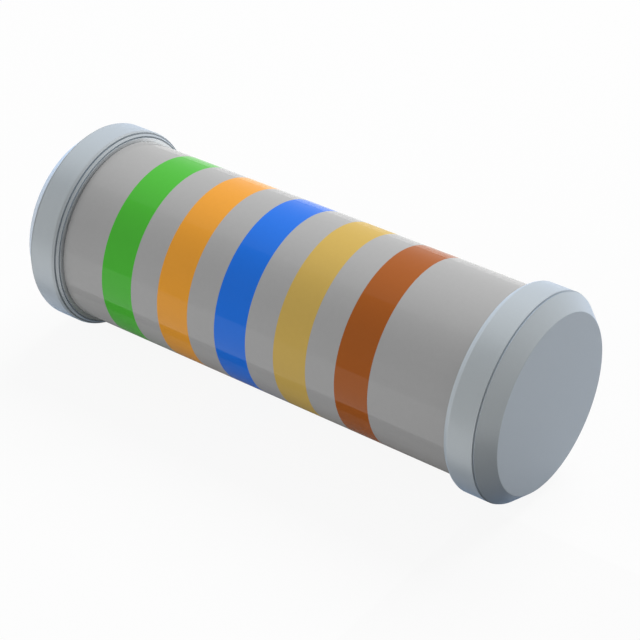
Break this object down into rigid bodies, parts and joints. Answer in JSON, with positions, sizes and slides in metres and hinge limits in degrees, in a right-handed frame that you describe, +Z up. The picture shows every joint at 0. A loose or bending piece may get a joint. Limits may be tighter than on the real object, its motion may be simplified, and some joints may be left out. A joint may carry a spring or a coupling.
{
  "type": "leadless cylindrical resistor",
  "caption": "Small leadless film resistor: a ceramic rod with a trimmed metal film, pressed-on end caps to solder to, a grey lacquer coat and printed colour bands.",
  "frame": {"origin": "bottom centre of the bounding box: on the board's plane, under the axis, midway between the two end faces", "axes": "+X along the resistor's axis, towards the cap beside the brown band; +Z up, away from the board"},
  "size_m": [0.006, 0.0022, 0.0022],
  "materials": {
    "ceramic": "fine matt alumina",
    "metal_film": "dull grey nickel-chromium film",
    "tinned_cap": "satin tin over steel",
    "grey_lacquer": "semi-gloss grey lacquer",
    "green_ink": "semi-gloss green ink",
    "orange_ink": "semi-gloss orange ink",
    "blue_ink": "semi-gloss blue ink",
    "gold_ink": "satin metallic gold ink",
    "brown_ink": "semi-gloss brown ink"
  },
  "bodies": {
    "root": {"ceramic_rod": "ceramic", "resistive_film": "metal_film", "left_cap": "tinned_cap", "right_cap": "tinned_cap", "lacquer_coat": "grey_lacquer", "green_band": "green_ink", "orange_band": "orange_ink", "blue_band": "blue_ink", "gold_band": "gold_ink", "brown_band": "brown_ink"}
  },
  "joints": []
}
